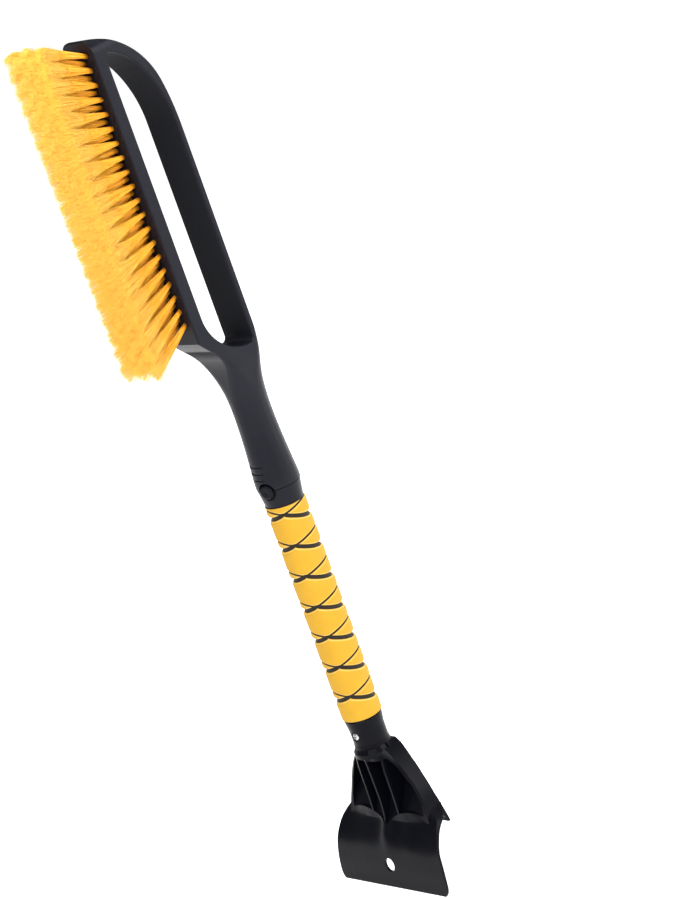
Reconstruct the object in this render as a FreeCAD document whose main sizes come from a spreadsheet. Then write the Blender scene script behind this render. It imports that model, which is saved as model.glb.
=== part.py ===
import FreeCAD, Part
import math
import os

# Windshield ice scraper with snow brush.
# Frame: millimetres, +Z runs up the handle to the brush, the bristles point along -X,
# the origin is on the handle's axis at the middle of the foam grip.

V = FreeCAD.Vector
os.makedirs("parts", exist_ok=True)
doc = FreeCAD.newDocument("ice_scraper")

# ---------------------------------------------------------------- driving dimensions
sheet = doc.addObject("Spreadsheet::Sheet", "dims")
DIMS = [
    ("grip_length", 182.0), ("grip_radius", 16.1), ("grip_end_round", 1.8),
    ("tube_radius", 11.0), ("tube_wall", 1.2), ("tube_top", 150.0), ("tube_bottom", -121.0),
    # collar between the foam and the brush head's socket
    ("collar_bottom", 91.0), ("collar_shoulder", 105.0), ("collar_low_radius", 15.0),
    ("collar_top_radius", 17.0), ("plug_radius", 12.4), ("plug_top", 158.0),
    # release button
    ("button_height", 104.6), ("button_radius", 5.6), ("button_face", 18.0), ("button_turn", 15.0),
    ("button_flange_radius", 6.6), ("button_flange_face", 7.0), ("button_flange_back", 5.6),
    ("notch_radius", 7.1), ("button_clear", 0.15),
    ("spring_radius", 3.2), ("spring_wire", 0.45), ("spring_turns", 6.0),
    # brush head
    ("rim_height", 105.3), ("socket_bore", 12.5), ("socket_top", 160.0),
    ("loop_half", 17.5), ("bed_face", 36.7), ("bed_back", 26.1), ("loop_back", 16.1),
    ("bar_inner", 11.4), ("edge_round", 1.5), ("corner_round", 10.5), ("bed_low", 236.0),
    # bristles
    ("tuft_first", 455.3), ("tuft_pitch", 10.85), ("tuft_rows_pitch", 4.65),
    ("tuft_root_radius", 1.7), ("tuft_tip_radius", 3.1), ("tuft_hole_radius", 1.95),
    ("tuft_hole_depth", 6.6), ("tuft_seat", 5.3), ("tuft_stand", 46.6),
    ("anchor_width", 3.0), ("anchor_gauge", 0.5), ("anchor_depth", 1.1),
    # scraper head
    ("scraper_top", -91.0), ("scraper_top_radius", 15.2), ("scraper_waist", 13.9),
    ("blade_edge", -229.4), ("hang_hole_radius", 5.5), ("hang_hole_height", -211.0),
    ("screw_height", -104.4), ("screw_head_radius", 3.2), ("screw_shank_radius", 1.5),
    ("screw_recess_radius", 3.75), ("tooth_pitch", 6.2), ("tooth_depth", 4.6),
]
for row, (name, value) in enumerate(DIMS, start=1):
    sheet.set("A%d" % row, name)
    sheet.set("B%d" % row, repr(value))
    sheet.setAlias("B%d" % row, name)
doc.recompute()
D = dict(DIMS)


def bind(obj, prop, expr):
    obj.setExpression(prop, expr)


def plane(body, role):
    for feature in body.Origin.OriginFeatures:
        if feature.Role == role:
            return feature
    raise RuntimeError("no plane " + role)


def sketch_on(body, role, name):
    sk = body.newObject("Sketcher::SketchObject", name)
    sk.AttachmentSupport = [(plane(body, role), "")]
    sk.MapMode = "FlatFace"
    return sk


def to_sketch(sk, x, z):
    """Sketch coordinates of the point (x, z) of the XZ plane."""
    p = sk.Placement.inverse().multVec(V(x, 0, z))
    return V(p.x, p.y, 0)


def polyline(sk, pts):
    n = len(pts)
    return [sk.addGeometry(Part.LineSegment(pts[i], pts[(i + 1) % n]), False) for i in range(n)]


def volume_drop(feature, before, what):
    doc.recompute()
    after = feature.Shape.Volume
    if not after < before - 1e-3:
        raise RuntimeError("%s removed nothing" % what)
    return after


BTN = FreeCAD.Rotation(V(0, 0, 1), D["button_turn"])     # from -X towards -Y


PIECES = []


def piece(obj, label):
    obj.Label = label
    PIECES.append(obj)
    return obj


# ---------------------------------------------------------------- handle tube
tube = doc.addObject("PartDesign::Body", "tube_body")
sk = sketch_on(tube, "XY_Plane", "tube_ring")
bind(sk, ".AttachmentOffset.Base.z", "dims.tube_bottom")
outer = sk.addGeometry(Part.Circle(V(0, 0, 0), V(0, 0, 1), D["tube_radius"]), False)
inner = sk.addGeometry(Part.Circle(V(0, 0, 0), V(0, 0, 1), D["tube_radius"] - D["tube_wall"]), False)
import Sketcher
for g in (outer, inner):
    sk.addConstraint(Sketcher.Constraint("Coincident", g, 3, -1, 1))
c = sk.addConstraint(Sketcher.Constraint("Radius", outer, D["tube_radius"]))
bind(sk, "Constraints[%d]" % c, "dims.tube_radius")
c = sk.addConstraint(Sketcher.Constraint("Radius", inner, D["tube_radius"] - D["tube_wall"]))
bind(sk, "Constraints[%d]" % c, "dims.tube_radius - dims.tube_wall")
pad = tube.newObject("PartDesign::Pad", "tube_pad")
pad.Profile = sk
bind(pad, "Length", "dims.tube_top - dims.tube_bottom")
doc.recompute()
base = pad.Shape.Volume


def radial_tool(name, radius_expr, z_name, turned, start, reach):
    """A cylinder that points from outside towards the axis."""
    t = doc.addObject("Part::Cylinder", name)
    bind(t, "Radius", radius_expr)
    t.Height = reach
    turn = BTN if turned else FreeCAD.Rotation()
    t.Placement = FreeCAD.Placement(turn.multVec(V(-start, 0, 0)) + V(0, 0, D[z_name]),
                                    turn.multiply(FreeCAD.Rotation(V(0, 1, 0), 90)))
    return t


tube_tools = doc.addObject("Part::Compound", "tube_hole_tools")
tube_tools.Links = [radial_tool("tube_button_hole", "dims.button_radius + 0.3", "button_height", True, 16.0, 12.0),
                    radial_tool("tube_screw_hole", "dims.screw_shank_radius", "screw_height", False, 16.0, 12.0)]
doc.recompute()
tube_cut = doc.addObject("Part::Cut", "tube_drilled")
tube_cut.Base, tube_cut.Tool = tube, tube_tools
volume_drop(tube_cut, base, "tube cross holes")
tube = tube_cut
piece(tube, "handle_tube")

# ---------------------------------------------------------------- foam grip
foam = doc.addObject("PartDesign::Body", "foam_body")
sk = sketch_on(foam, "XY_Plane", "foam_ring")
bind(sk, ".AttachmentOffset.Base.z", "-dims.grip_length / 2")
outer = sk.addGeometry(Part.Circle(V(0, 0, 0), V(0, 0, 1), D["grip_radius"]), False)
inner = sk.addGeometry(Part.Circle(V(0, 0, 0), V(0, 0, 1), D["tube_radius"]), False)
for g in (outer, inner):
    sk.addConstraint(Sketcher.Constraint("Coincident", g, 3, -1, 1))
c = sk.addConstraint(Sketcher.Constraint("Radius", outer, D["grip_radius"]))
bind(sk, "Constraints[%d]" % c, "dims.grip_radius")
c = sk.addConstraint(Sketcher.Constraint("Radius", inner, D["tube_radius"]))
bind(sk, "Constraints[%d]" % c, "dims.tube_radius")
pad = foam.newObject("PartDesign::Pad", "foam_pad")
pad.Profile = sk
bind(pad, "Length", "dims.grip_length")
doc.recompute()
rims = ["Edge%d" % (i + 1) for i, e in enumerate(pad.Shape.Edges)
        if isinstance(e.Curve, Part.Circle) and abs(e.Curve.Radius - D["grip_radius"]) < 1e-6]
fil = foam.newObject("PartDesign::Fillet", "foam_rims")
fil.Base = (pad, rims)
bind(fil, "Radius", "dims.grip_end_round")
doc.recompute()
piece(foam, "foam_grip")

# ---------------------------------------------------------------- latch collar
collar = doc.addObject("PartDesign::Body", "collar_body")
sk = sketch_on(collar, "XZ_Plane", "collar_section")
doc.recompute()
r0 = D["tube_radius"]
pts = [(r0, D["collar_bottom"]), (D["collar_low_radius"], D["collar_bottom"]),
       (D["collar_top_radius"] - 0.15, D["collar_shoulder"] - 1.2),
       (D["collar_top_radius"], D["collar_shoulder"]),
       (D["plug_radius"], D["collar_shoulder"]),
       (D["plug_radius"], D["plug_top"] - 1.5), (D["plug_radius"] - 1.5, D["plug_top"]),
       (0.0, D["plug_top"]), (0.0, D["tube_top"]), (r0, D["tube_top"])]
polyline(sk, [to_sketch(sk, x, z) for x, z in pts])
rev = collar.newObject("PartDesign::Revolution", "collar_turned")
rev.Profile = sk
rev.ReferenceAxis = (sk, ["V_Axis"])
rev.Angle = 360
doc.recompute()
base = rev.Shape.Volume
collar_hole = radial_tool("collar_button_hole", "dims.button_radius + dims.button_clear", "button_height", True, 22.0, 18.0)
doc.recompute()
collar_cut = doc.addObject("Part::Cut", "collar_drilled")
collar_cut.Base, collar_cut.Tool = collar, collar_hole
volume_drop(collar_cut, base, "collar button hole")
collar = collar_cut
piece(collar, "latch_collar")

# ---------------------------------------------------------------- release button (plunger, face along -X)
button = doc.addObject("PartDesign::Body", "button_body")
sk = sketch_on(button, "XZ_Plane", "button_section")
doc.recompute()
h0 = D["button_height"]
br = D["button_radius"]
pts = [(-D["button_flange_back"], h0), (-D["button_flange_back"], h0 + D["button_flange_radius"]),
       (-D["button_flange_face"], h0 + D["button_flange_radius"]), (-D["button_flange_face"], h0 + br),
       (-D["button_face"] + 1.0, h0 + br), (-D["button_face"] + 0.35, h0 + br - 0.35),
       (-D["button_face"] + 0.1, h0 + br - 0.9), (-D["button_face"], h0 + br - 2.2),
       (-D["button_face"] + 0.35, h0)]
P = [to_sketch(sk, x, z) for x, z in pts]
polyline(sk, P)
axis_line = sk.addGeometry(Part.LineSegment(to_sketch(sk, -20, h0), to_sketch(sk, 0, h0)), True)
rev = button.newObject("PartDesign::Revolution", "button_turned")
rev.Profile = sk
rev.ReferenceAxis = (sk, ["Axis0"])
rev.Angle = 360
button.Placement = FreeCAD.Placement(V(0, 0, 0), BTN)
doc.recompute()
piece(button, "release_button")

# ---------------------------------------------------------------- button spring (compression, along X)
spring_from = -D["button_flange_back"] + D["spring_wire"] + 0.03
spring_to = D["tube_radius"] - D["tube_wall"] - D["spring_wire"] - 0.65
length = spring_to - spring_from
helix = Part.makeHelix(length / D["spring_turns"], length, D["spring_radius"])
wire = Part.Wire(helix.Edges)
start = wire.Edges[0].valueAt(wire.Edges[0].FirstParameter)
tangent = wire.Edges[0].tangentAt(wire.Edges[0].FirstParameter)
ring = Part.Wire([Part.makeCircle(D["spring_wire"], start, tangent)])
coil = wire.makePipeShell([ring], True, True)
spring = doc.addObject("Part::Feature", "spring_coil")
spring.Shape = coil
spring.Placement = FreeCAD.Placement(BTN.multVec(V(spring_from, 0, 0)) + V(0, 0, D["button_height"]),
                                     BTN.multiply(FreeCAD.Rotation(V(0, 1, 0), 90)))
piece(spring, "button_spring")

# ---------------------------------------------------------------- brush head frame
# Side view of the bed and the hand loop, padded to the loop's width.
plate = doc.addObject("PartDesign::Body", "head_plate")
sk = sketch_on(plate, "XZ_Plane", "head_side")
doc.recompute()
S = lambda x, z: to_sketch(sk, x, z)


def add_chain(sk, items):
    for it in items:
        if it[0] == "line":
            sk.addGeometry(Part.LineSegment(S(*it[1]), S(*it[2])), False)
        else:
            arc = Part.Arc(S(*it[1]), S(*it[2]), S(*it[3]))
            sk.addGeometry(arc, False)


def on_circle(cx, cz, r, deg):
    a = math.radians(deg)
    return (cx + r * math.cos(a), cz + r * math.sin(a))


bf, lb = -D["bed_face"], D["loop_back"]
# outer arcs: a wide one from the back bar, a tighter one over the top of the bed
R1 = 196.44
c1 = (lb - R1, 382.8)
join = on_circle(c1[0], c1[1], R1, 10.3)
ux, uz = (c1[0] - join[0]) / R1, (c1[1] - join[1]) / R1
R2 = 60.49
c2 = (join[0] + ux * R2, join[1] + uz * R2)
z_top = c2[1] + math.sqrt(R2 ** 2 - (bf + 0.0 - c2[0]) ** 2)
mid2_x = (join[0] + bf) / 2
mid2 = (mid2_x, c2[1] + math.sqrt(R2 ** 2 - (mid2_x - c2[0]) ** 2))
low = 190.0
add_chain(sk, [
    ("line", (bf, low), (bf, z_top)),
    ("arc", (bf, z_top), mid2, join),
    ("arc", join, on_circle(c1[0], c1[1], R1, 5.15), (lb, c1[1])),
    ("line", (lb, c1[1]), (lb, low)),
    ("line", (lb, low), (bf, low)),
])
# the hand opening: straight sides, pointed top corner at the bed, quarter round at the bottom
bi, bb = D["bar_inner"], -D["bed_back"]
ci, Ri = (bi - 88.0, 389.0), 88.0
ji = on_circle(ci[0], ci[1], Ri, 30.7)
ux, uz = (ci[0] - ji[0]) / Ri, (ci[1] - ji[1]) / Ri
Rj = 44.0
cj = (ji[0] + ux * Rj, ji[1] + uz * Rj)
rf = 3.0
cf = (bb + rf, cj[1] + math.sqrt((Rj - rf) ** 2 - (bb + rf - cj[0]) ** 2))
tip = (cj[0] + (cf[0] - cj[0]) * Rj / (Rj - rf), cj[1] + (cf[1] - cj[1]) * Rj / (Rj - rf))
tip_ang = math.atan2(tip[1] - cf[1], tip[0] - cf[0])
tip_mid = (cf[0] + rf * math.cos((tip_ang + math.pi) / 2), cf[1] + rf * math.sin((tip_ang + math.pi) / 2))
ang_a, ang_b = math.atan2(tip[1] - cj[1], tip[0] - cj[0]), math.atan2(ji[1] - cj[1], ji[0] - cj[0])
midj = (cj[0] + Rj * math.cos((ang_a + ang_b) / 2), cj[1] + Rj * math.sin((ang_a + ang_b) / 2))
Rq = 33.5
cq = (bb + Rq, 249.5)
q_end = (cq[0], cq[1] - Rq)
add_chain(sk, [
    ("arc", tip, midj, ji),
    ("arc", ji, on_circle(ci[0], ci[1], Ri, 15.0), (bi, ci[1])),
    ("line", (bi, ci[1]), (bi, q_end[1] + bi - q_end[0])),
    ("arc", (bi, q_end[1] + bi - q_end[0]),
     (q_end[0] + (bi - q_end[0]) * math.sin(math.radians(45)), q_end[1] + (bi - q_end[0]) * (1 - math.cos(math.radians(45)))), q_end),
    ("arc", q_end, on_circle(cq[0], cq[1], Rq, 225.0), (bb, cq[1])),
    ("line", (bb, cq[1]), (bb, cf[1])),
    ("arc", (bb, cf[1]), tip_mid, tip),
])
pad = plate.newObject("PartDesign::Pad", "plate_pad")
pad.Profile = sk
try:
    pad.SideType = "Symmetric"
except Exception:
    pad.Midplane = True
bind(pad, "Length", "dims.loop_half * 2")
doc.recompute()
half = D["loop_half"]
if abs(pad.Shape.BoundBox.YMax - half) > 1e-6 or abs(pad.Shape.BoundBox.YMin + half) > 1e-6:
    raise RuntimeError("the plate isn't centred")


def rounded(name, base, picks):
    """Part::Fillet over the base's flat side edges that picks() gives radii for."""
    f = doc.addObject("Part::Fillet", name)
    f.Base = base
    rows_ = []
    for i, e in enumerate(base.Shape.Edges):
        b_ = e.BoundBox
        if b_.YLength < 1e-5 and abs(abs(b_.YMin) - half) < 1e-5:
            radii = picks(b_)
            if radii:
                rows_.append((i + 1, radii[0], radii[1]))
    f.Edges = rows_
    doc.recompute()
    good = len(rows_) > 0 and f.isValid() and not f.Shape.isNull() and f.Shape.isValid()
    print(name, good, len(rows_), round(f.Shape.Volume))
    if not good:
        raise RuntimeError(name + " didn't round")
    return f


er = D["edge_round"]
outer_round = rounded("outer_edges", plate, lambda b_: (er, er) if b_.ZMax > 460 and b_.XMin < bf + 0.1 and b_.XLength > 30 else None)
inner_round = rounded("opening_edges", outer_round, lambda b_: (er, er) if b_.ZMax > 212 and b_.XMin > -26.2 and b_.XMax < 11.5 and b_.ZMax < 458 else None)
fil = rounded("front_edges", inner_round, lambda b_: (er, er) if b_.XMax < bf + 0.1 else None)

# Neck sections: z, front, back, half width, corner radius
NECK = [
    (D["rim_height"], -17.1, 17.4, 17.3, 17.0),
    (107.5, -17.15, 17.45, 17.35, 17.05),
    (116.0, -16.55, 16.95, 16.85, 16.5),
    (126.0, -15.8, 16.3, 16.1, 15.8),
    (140.0, -14.8, 15.4, 15.15, 14.8),
    (156.0, -14.15, 14.75, 14.5, 14.1),
    (172.0, -14.1, 14.8, 14.55, 14.1),
    (185.0, -14.6, 15.1, 15.0, 12.9),
    (192.0, -15.2, 15.3, 15.6, 11.4),
    (199.0, -15.9, 15.5, 16.3, 9.0),
    (206.0, -17.2, 15.8, 16.9, 6.2),
    (212.0, -19.4, 16.0, 17.2, 4.4),
    (220.0, -24.6, 16.1, 17.5, 2.6),
    (228.0, -31.8, 16.2, 17.6, 1.8),
    (D["bed_low"], -38.5, 16.5, 17.9, 1.5),
]
sections = []
for i, (z, xa, xb, yh, cr) in enumerate(NECK):
    sec = doc.addObject("Sketcher::SketchObject", "neck_section_%02d" % i)
    sec.Placement = FreeCAD.Placement(V(0, 0, z), FreeCAD.Rotation())
    k = cr * (1 - math.sqrt(0.5))
    corners = [(xb, yh, -1, -1), (xa, yh, 1, -1), (xa, -yh, 1, 1), (xb, -yh, -1, 1)]
    sec.addGeometry(Part.LineSegment(V(xb, -yh + cr, 0), V(xb, yh - cr, 0)), False)
    sec.addGeometry(Part.Arc(V(xb, yh - cr, 0), V(xb - k, yh - k, 0), V(xb - cr, yh, 0)), False)
    sec.addGeometry(Part.LineSegment(V(xb - cr, yh, 0), V(xa + cr, yh, 0)), False)
    sec.addGeometry(Part.Arc(V(xa + cr, yh, 0), V(xa + k, yh - k, 0), V(xa, yh - cr, 0)), False)
    sec.addGeometry(Part.LineSegment(V(xa, yh - cr, 0), V(xa, -yh + cr, 0)), False)
    sec.addGeometry(Part.Arc(V(xa, -yh + cr, 0), V(xa + k, -yh + k, 0), V(xa + cr, -yh, 0)), False)
    sec.addGeometry(Part.LineSegment(V(xa + cr, -yh, 0), V(xb - cr, -yh, 0)), False)
    sec.addGeometry(Part.Arc(V(xb - cr, -yh, 0), V(xb - k, -yh + k, 0), V(xb, -yh + cr, 0)), False)
    sections.append(sec)
doc.recompute()
neck = doc.addObject("Part::Loft", "neck_loft")
neck.Sections = sections
neck.Solid = True
neck.Ruled = False
above = doc.addObject("Part::Box", "above_neck")
above.Length, above.Width, above.Height = 70, 50, 300
bind(above, "Placement.Base.z", "dims.bed_low - 0.02")
above.Placement.Base = V(-45, -25, D["bed_low"] - 0.02)
bind(above, "Placement.Base.z", "dims.bed_low - 0.02")
envelope = doc.addObject("Part::Fuse", "head_envelope")
envelope.Base, envelope.Tool = neck, above
doc.recompute()
# the bed's top end is well rounded at both corners, and the round runs out where the back bar falls away
top_z = max(v.Z for v in fil.Shape.Vertexes)
corners_off = fil
for side, word in ((1, "far"), (-1, "near")):
    block = doc.addObject("Part::Box", "corner_block_" + word)
    block.Length, block.Width, block.Height = 50, 20, 20
    block.Placement.Base = V(-45, side * half - (0 if side < 0 else D["corner_round"]), top_z - D["corner_round"])
    bind(block, "Placement.Base.y", "dims.loop_half - dims.corner_round" if side > 0 else "dims.corner_round - dims.loop_half - 20")
    bind(block, "Placement.Base.z", "%.6f - dims.corner_round" % top_z)
    rod = doc.addObject("Part::Cylinder", "corner_rod_" + word)
    bind(rod, "Radius", "dims.corner_round")
    rod.Height = 60
    rod.Placement = FreeCAD.Placement(V(-50, side * (half - D["corner_round"]), top_z - D["corner_round"]), FreeCAD.Rotation(V(0, 0, 1), V(1, 0, 0)))
    spandrel = doc.addObject("Part::Cut", "corner_spandrel_" + word)
    spandrel.Base, spandrel.Tool = block, rod
    step = doc.addObject("Part::Cut", "corner_off_" + word)
    step.Base, step.Tool = corners_off, spandrel
    corners_off = step
doc.recompute()
upper = doc.addObject("Part::Common", "head_upper")
upper.Base, upper.Tool = corners_off, envelope
below = doc.addObject("Part::Box", "below_plate")
below.Length, below.Width, below.Height = 70, 50, 110
below.Placement.Base = V(-45, -25, 90.0)
lower = doc.addObject("Part::Common", "neck_lower")
lower.Base, lower.Tool = neck, below
shell = doc.addObject("Part::Fuse", "head_solid")
shell.Base, shell.Tool = upper, lower
shell.Refine = True
doc.recompute()
print("head solid", shell.Shape.isValid(), len(shell.Shape.Solids), round(shell.Shape.Volume))

bore = doc.addObject("Part::Cylinder", "socket_bore_tool")
bind(bore, "Radius", "dims.socket_bore")
bind(bore, "Height", "dims.socket_top - dims.rim_height + 5")
bore.Placement.Base = V(0, 0, D["rim_height"] - 5)
notch = doc.addObject("Part::Cylinder", "notch_tool")
bind(notch, "Radius", "dims.notch_radius")
notch.Height = 12
notch.Placement = FreeCAD.Placement(BTN.multVec(V(-22, 0, 0)) + V(0, 0, D["button_height"]),
                                    BTN.multiply(FreeCAD.Rotation(V(0, 1, 0), 90)))
grooves = []
for i, (z, floor, tall) in enumerate(((124.9, 15.1, 2.1), (119.3, 15.5, 1.9), (113.9, 15.95, 1.1))):
    ring = doc.addObject("Part::Cylinder", "grip_mark_ring_%d" % i)
    ring.Radius, ring.Height, ring.Angle = 22.0, tall, 62.0 - 6.0 * i
    core = doc.addObject("Part::Cylinder", "grip_mark_core_%d" % i)
    core.Radius, core.Height = floor, 3.0
    core.Placement.Base = V(0, 0, z - 1.5)
    ring.Placement = FreeCAD.Placement(V(0, 0, z - tall / 2), FreeCAD.Rotation(V(0, 0, 1), 146.0 + 2.0 * i))
    g = doc.addObject("Part::Cut", "grip_mark_%d" % i)
    g.Base, g.Tool = ring, core
    grooves.append(g)

# ---------------------------------------------------------------- tufts: place, lean and roots
ROWS = [(-2, 0.0), (-1, 0.5), (0, 0.0), (1, 0.5), (2, 0.0)]
centre_z = D["tuft_first"] - 9.5 * D["tuft_pitch"]
span = 9.5 * D["tuft_pitch"]
tufts = []      # (row, index, is_end, root point on the face, direction out of the bed)
for row, (k, shift) in enumerate(ROWS, start=1):
    count = 20 if shift == 0.0 else 19
    for i in range(count):
        z = D["tuft_first"] - (i + shift) * D["tuft_pitch"]
        y = k * D["tuft_rows_pitch"]
        t = (z - centre_z) / span
        lean_z = math.tan(math.radians(22.0 * t))
        lean_y = math.tan(math.radians(5.7 * k))
        d = V(-1.0, lean_y, lean_z)
        d.normalize()
        tufts.append((row, i, i in (0, count - 1), V(-D["bed_face"], y, z), d))
cutters = []
anchors = []
rows = {n: [] for n in range(1, 6)}
ends = []
for row, i, is_end, root, d in tufts:
    turn = FreeCAD.Rotation(V(0, 0, 1), d)
    stand = D["tuft_stand"] / abs(d.x) - D["tuft_tip_radius"] * math.sqrt(1.0 - d.x ** 2) / abs(d.x)
    name = "%d_%02d" % (row, i)
    hole = doc.addObject("Part::Cylinder", "tuft_hole_" + name)
    bind(hole, "Radius", "dims.tuft_hole_radius")
    bind(hole, "Height", "dims.tuft_hole_depth + 2")
    hole.Placement = FreeCAD.Placement(root - d * D["tuft_hole_depth"], turn)
    cutters.append(hole)
    tuft = doc.addObject("Part::Cone", "tuft_" + name)
    bind(tuft, "Radius1", "dims.tuft_root_radius")
    bind(tuft, "Radius2", "dims.tuft_tip_radius")
    tuft.Height = stand + D["tuft_seat"]
    tuft.Placement = FreeCAD.Placement(root - d * D["tuft_seat"], turn)
    # the last 60 % of a tuft opens out, the part inside its hole stays within it
    (ends if is_end else rows[row]).append(tuft)
    anchor = doc.addObject("Part::Box", "anchor_" + name)
    bind(anchor, "Length", "dims.anchor_width")
    bind(anchor, "Width", "dims.anchor_gauge")
    bind(anchor, "Height", "dims.anchor_depth")
    corner = turn.multVec(V(-D["anchor_width"] / 2, -D["anchor_gauge"] / 2, 0))
    anchor.Placement = FreeCAD.Placement(root - d * (D["tuft_hole_depth"] - 0.05) + corner, turn)
    anchors.append(anchor)
doc.recompute()
tools = doc.addObject("Part::Compound", "head_cutters")
tools.Links = cutters + [bore, notch] + grooves
doc.recompute()
head = doc.addObject("Part::Cut", "head_cut")
head.Base, head.Tool = shell, tools
doc.recompute()
piece(head, "brush_head_frame")
for n in range(1, 6):
    comp = doc.addObject("Part::Compound", "row_%d" % n)
    comp.Links = rows[n]
    piece(comp, "bristle_row_%d" % n)
comp = doc.addObject("Part::Compound", "row_ends")
comp.Links = ends
piece(comp, "bristle_end_tufts")
comp = doc.addObject("Part::Compound", "anchor_group")
comp.Links = anchors
piece(comp, "tuft_anchors")

# ---------------------------------------------------------------- scraper head
# Socket, turned about the handle's axis
socket = doc.addObject("PartDesign::Body", "scraper_socket")
sk = sketch_on(socket, "XZ_Plane", "socket_section")
doc.recompute()
zt = D["scraper_top"]
pts = [(0, zt), (D["scraper_top_radius"] - 0.6, zt), (D["scraper_top_radius"], zt - 0.8),
       (14.7, zt - 5.0), (14.1, zt - 9.5), (D["scraper_waist"], zt - 14.0), (D["scraper_waist"], zt - 21.0),
       (14.6, zt - 25.0), (16.3, zt - 28.5), (16.3, zt - 32.0), (0, zt - 32.0)]
polyline(sk, [to_sketch(sk, x, z) for x, z in pts])
rev = socket.newObject("PartDesign::Revolution", "socket_turned")
rev.Profile = sk
rev.ReferenceAxis = (sk, ["V_Axis"])
rev.Angle = 360
doc.recompute()

# Front surface of the fan: z, half width, front at 0, 0.4, 0.72 and 1.0 of the half width
FAN = [
    (-116.5, 13.6, -12.9, -11.8, -9.0, -4.0),
    (-122.0, 19.0, -12.9, -11.4, -8.2, -3.2),
    (-132.0, 27.2, -12.7, -10.7, -7.6, -3.2),
    (-148.0, 37.2, -12.4, -10.2, -7.2, -3.4),
    (-160.0, 42.0, -12.4, -10.4, -7.9, -4.8),
    (-168.0, 44.2, -12.9, -10.8, -8.6, -6.8),
    (-176.0, 45.6, -14.0, -11.4, -9.6, -9.0),
    (-186.0, 46.6, -16.4, -13.4, -12.4, -12.4),
]
# The blade: the same, and its thickness. Its outer corners sweep back to the ice breaker.
BLADE = [
    (-168.4, 44.8, -12.7, -10.4, -8.4, 3.2, 5.4),
    (-170.6, 47.0, -13.0, -10.4, -8.6, -0.6, 7.4),
    (-173.4, 50.0, -13.6, -10.6, -8.9, -4.6, 8.0),
    (-177.0, 53.2, -14.4, -10.9, -9.6, -8.0, 7.0),
    (-180.0, 54.7, -15.8, -12.2, -11.1, -11.2, 5.0),
    (-184.0, 56.2, -18.0, -14.7, -13.8, -14.5, 3.5),
    (-191.0, 57.9, -20.9, -19.1, -18.6, -19.1, 2.8),
    (-200.0, 59.7, -22.9, -22.5, -22.4, -22.5, 2.3),
    (-213.0, 61.3, -25.0, -25.0, -25.0, -25.0, 2.2),
    (-222.0, 61.7, -26.1, -26.1, -26.1, -26.1, 2.0),
    (-226.4, 60.9, -26.6, -26.6, -26.6, -26.6, 1.8),
    (D["blade_edge"], 58.6, -26.9, -26.9, -26.9, -26.9, 1.4),
]


def front_curve(z, hw, xs, shift=0.0):
    x0, x1, xm, x2 = xs
    ridge = x0 + 0.62 * (x1 - x0)
    at = [(-1.0, x2), (-0.72, xm), (-0.4, x1), (-0.12, ridge), (0.0, x0), (0.12, ridge), (0.4, x1), (0.72, xm), (1.0, x2)]
    curve = Part.BSplineCurve()
    curve.interpolate([V(x + shift, k * hw, z) for k, x in at])
    return curve.toShape()


def loft_feature(name, wires):
    f = doc.addObject("Part::Feature", name)
    f.Shape = Part.makeLoft(wires, True, False, False)
    print(name, f.Shape.isValid(), round(f.Shape.Volume))
    return f


wires = []
for z, hw, x0, x1, xm, x2 in FAN:
    e1 = front_curve(z, hw, (x0, x1, xm, x2))
    e2 = Part.makeLine(V(x2, hw, z), V(20, hw, z))
    e3 = Part.makeLine(V(20, hw, z), V(20, -hw, z))
    e4 = Part.makeLine(V(20, -hw, z), V(x2, -hw, z))
    wires.append(Part.Wire([e1, e2, e3, e4]))
skin = loft_feature("fan_skin", wires)
wires = []
for z, hw, x0, x1, xm, x2, thick in BLADE:
    e1 = front_curve(z, hw, (x0, x1, xm, x2))
    e3 = front_curve(z, hw, (x0, x1, xm, x2), thick)
    e2 = Part.makeLine(V(x2, hw, z), V(x2 + thick, hw, z))
    e4 = Part.makeLine(V(x2 + thick, -hw, z), V(x2, -hw, z))
    wires.append(Part.Wire([e1, e2, e3, e4]))
blade = loft_feature("blade_plate", wires)

# Side view of the fan: its back, the ice breaker and the throat in front of it
side = doc.addObject("Sketcher::SketchObject", "scraper_side")
side.Placement = FreeCAD.Placement(V(0, 0, 0), FreeCAD.Rotation(V(1, 0, 0), 90))
doc.recompute()
q = lambda x, z: V(x, z, 0)
outline = [(-2.0, -177.8), (-45, -177.8), (-45, -115.6), (12.2, -115.6), (12.4, -121.0), (10.3, -132.0), (8.6, -146.0),
           (8.1, -160.0), (9.0, -172.0), (10.6, -184.9), (9.6, -185.4), (8.5, -185.2), (7.6, -181.2), (5.4, -177.8)]
for a, b in zip(outline, outline[1:]):
    side.addGeometry(Part.LineSegment(q(*a), q(*b)), False)
side.addGeometry(Part.Arc(q(5.4, -177.8), q(1.7, -176.1), q(-2.0, -177.8)), False)
side_solid = doc.addObject("Part::Extrusion", "scraper_side_solid")
side_solid.Base = side
side_solid.DirMode = "Custom"
side_solid.Dir = V(0, 1, 0)
side_solid.LengthFwd = 70
side_solid.LengthRev = 70
side_solid.Solid = True
doc.recompute()
fan = doc.addObject("Part::Common", "scraper_fan")
fan.Base, fan.Tool = skin, side_solid
doc.recompute()
print("fan", fan.Shape.isValid(), len(fan.Shape.Solids), round(fan.Shape.Volume))
joined = doc.addObject("Part::Fuse", "scraper_joined")
joined.Base, joined.Tool = fan, blade
doc.recompute()
whole = doc.addObject("Part::Fuse", "scraper_whole")
whole.Base, whole.Tool = joined, socket
doc.recompute()
print("whole", whole.Shape.isValid(), len(whole.Shape.Solids), round(whole.Shape.Volume))
SKIN = [row_[:2] for row_ in FAN]

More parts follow.
